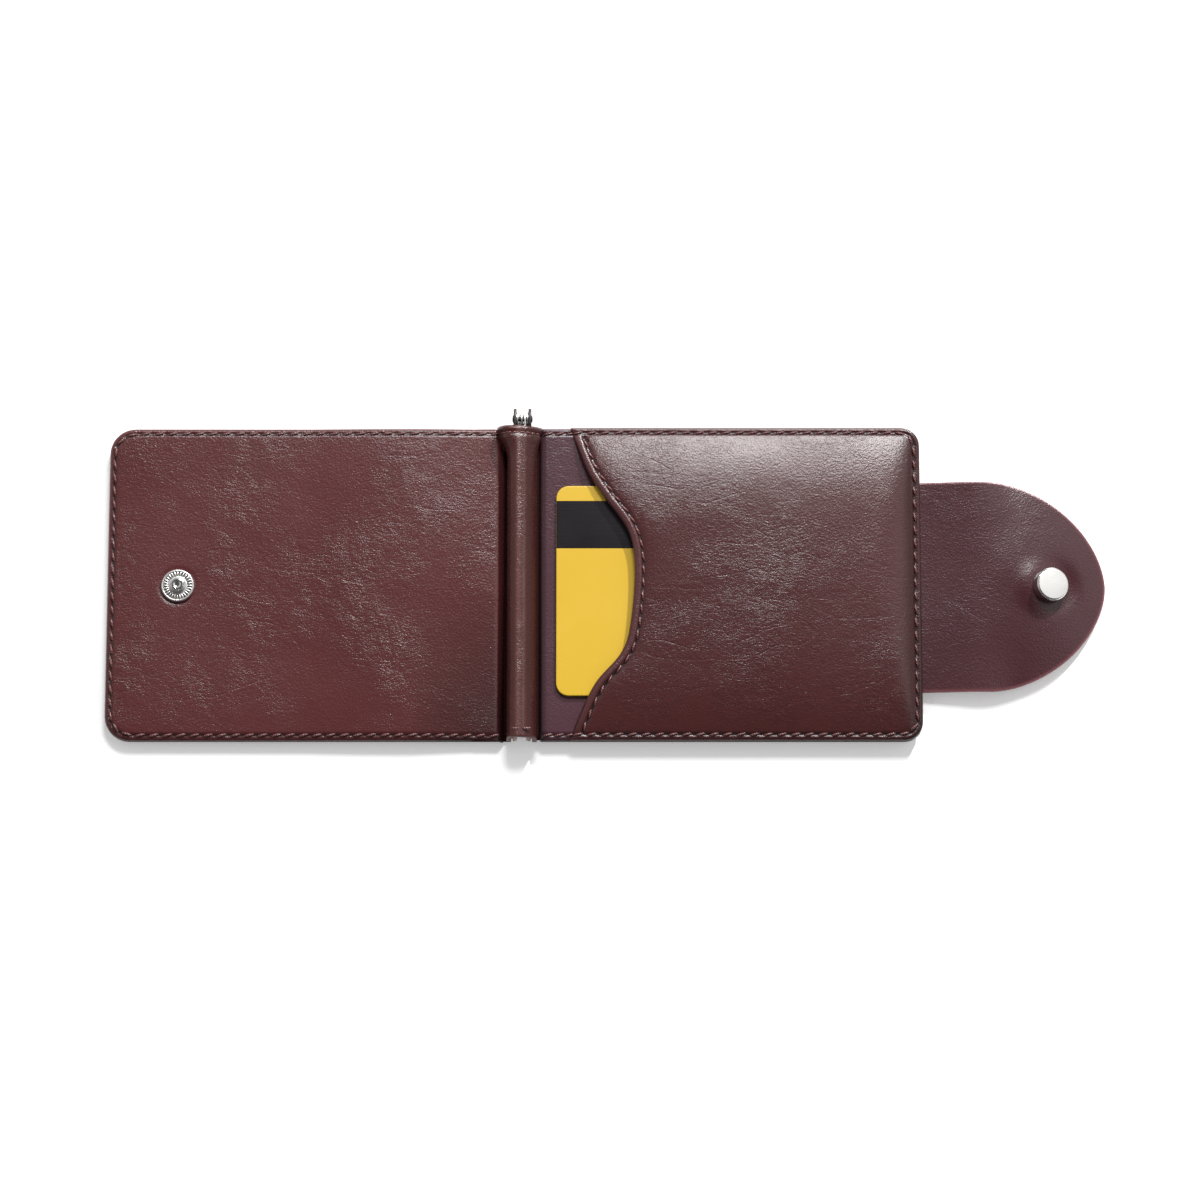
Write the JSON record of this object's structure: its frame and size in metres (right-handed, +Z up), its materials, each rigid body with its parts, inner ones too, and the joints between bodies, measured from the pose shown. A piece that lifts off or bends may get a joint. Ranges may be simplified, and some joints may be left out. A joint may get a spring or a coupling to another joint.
{
  "type": "money clip wallet",
  "caption": "Bifold leather wallet with a hinged spring clip in its spine, an outer card pocket with a card, and a strap that closes with a press snap.",
  "frame": {"origin": "bottom centre of the bounding box of the open wallet, on the table that it lies on", "axes": "+X from the front cover across the spine to the strap's tip, +Y along the spine towards the clip's hinge, +Z up from the table, out of the wallet's outer face"},
  "size_m": [0.2512, 0.0854, 0.0087],
  "materials": {
    "leather": "fine-grained, dark reddish brown, semi-gloss",
    "lining": "thin matte lining",
    "board": "plain stiffener",
    "nickel": "polished nickel plate",
    "steel": "plated steel",
    "card": "yellow card with a dark stripe"
  },
  "bodies": {
    "back_panel": {"back_outer_leather": "leather", "back_board": "board", "back_lining": "lining", "back_card_slot_1": "leather", "back_card_slot_2": "leather", "pocket_front": "leather", "strap_anchor": "leather"},
    "spine": {"spine_leather": "leather", "clip_channel": "steel", "hinge_pin": "nickel", "hinge_spring": "steel"},
    "arm": {"clip_arm": "steel"},
    "front_cover": {"cover_outer_leather": "leather", "cover_board": "board", "cover_lining": "lining", "cover_card_slot_1": "leather", "cover_card_slot_2": "leather", "snap_stud": "nickel", "stud_post": "nickel"},
    "strap_middle": {"strap_bridge": "leather"},
    "strap_end": {"strap_tongue": "leather", "snap_cap": "nickel", "snap_socket": "nickel", "socket_spring": "steel"},
    "loose_card": {"card": "card"}
  },
  "joints": [
    {"name": "spine_fold", "type": "hinge", "parent": "back_panel", "child": "spine", "pos_m": [-0.01706, -0.00248, 0], "axis": [0, -1, 0], "range_deg": [0, 91.2]},
    {"name": "cover_fold", "type": "hinge", "parent": "spine", "child": "front_cover", "pos_m": [-0.02546, -0.00248, 0], "axis": [0, -1, 0], "range_deg": [0, 91.2]},
    {"name": "clip_hinge", "type": "hinge", "parent": "spine", "child": "arm", "pos_m": [-0.02126, 0.04002, 0.0046], "axis": [1, 0, 0], "range_deg": [0, 90], "stiffness_Nm_per_rad": 0.02, "springref_deg": -45.84},
    {"name": "strap_fold", "type": "hinge", "parent": "back_panel", "child": "strap_middle", "pos_m": [0.07954, -0.00317, 0.0017], "axis": [0, 1, 0], "range_deg": [0, 70.66]},
    {"name": "strap_bend", "type": "hinge", "parent": "strap_middle", "child": "strap_end", "pos_m": [0.09121, -0.00317, 0.0031], "axis": [0, 1, 0], "range_deg": [0, 97.94]},
    {"name": "card_slide", "type": "slide", "parent": "back_panel", "child": "loose_card", "axis": [-1, 0, 0], "range_m": [-0.0045, 0.0043]}
  ],
  "couplings": [
    {"joint": "strap_bend", "follows": "strap_fold", "ratio": 1.386}
  ]
}
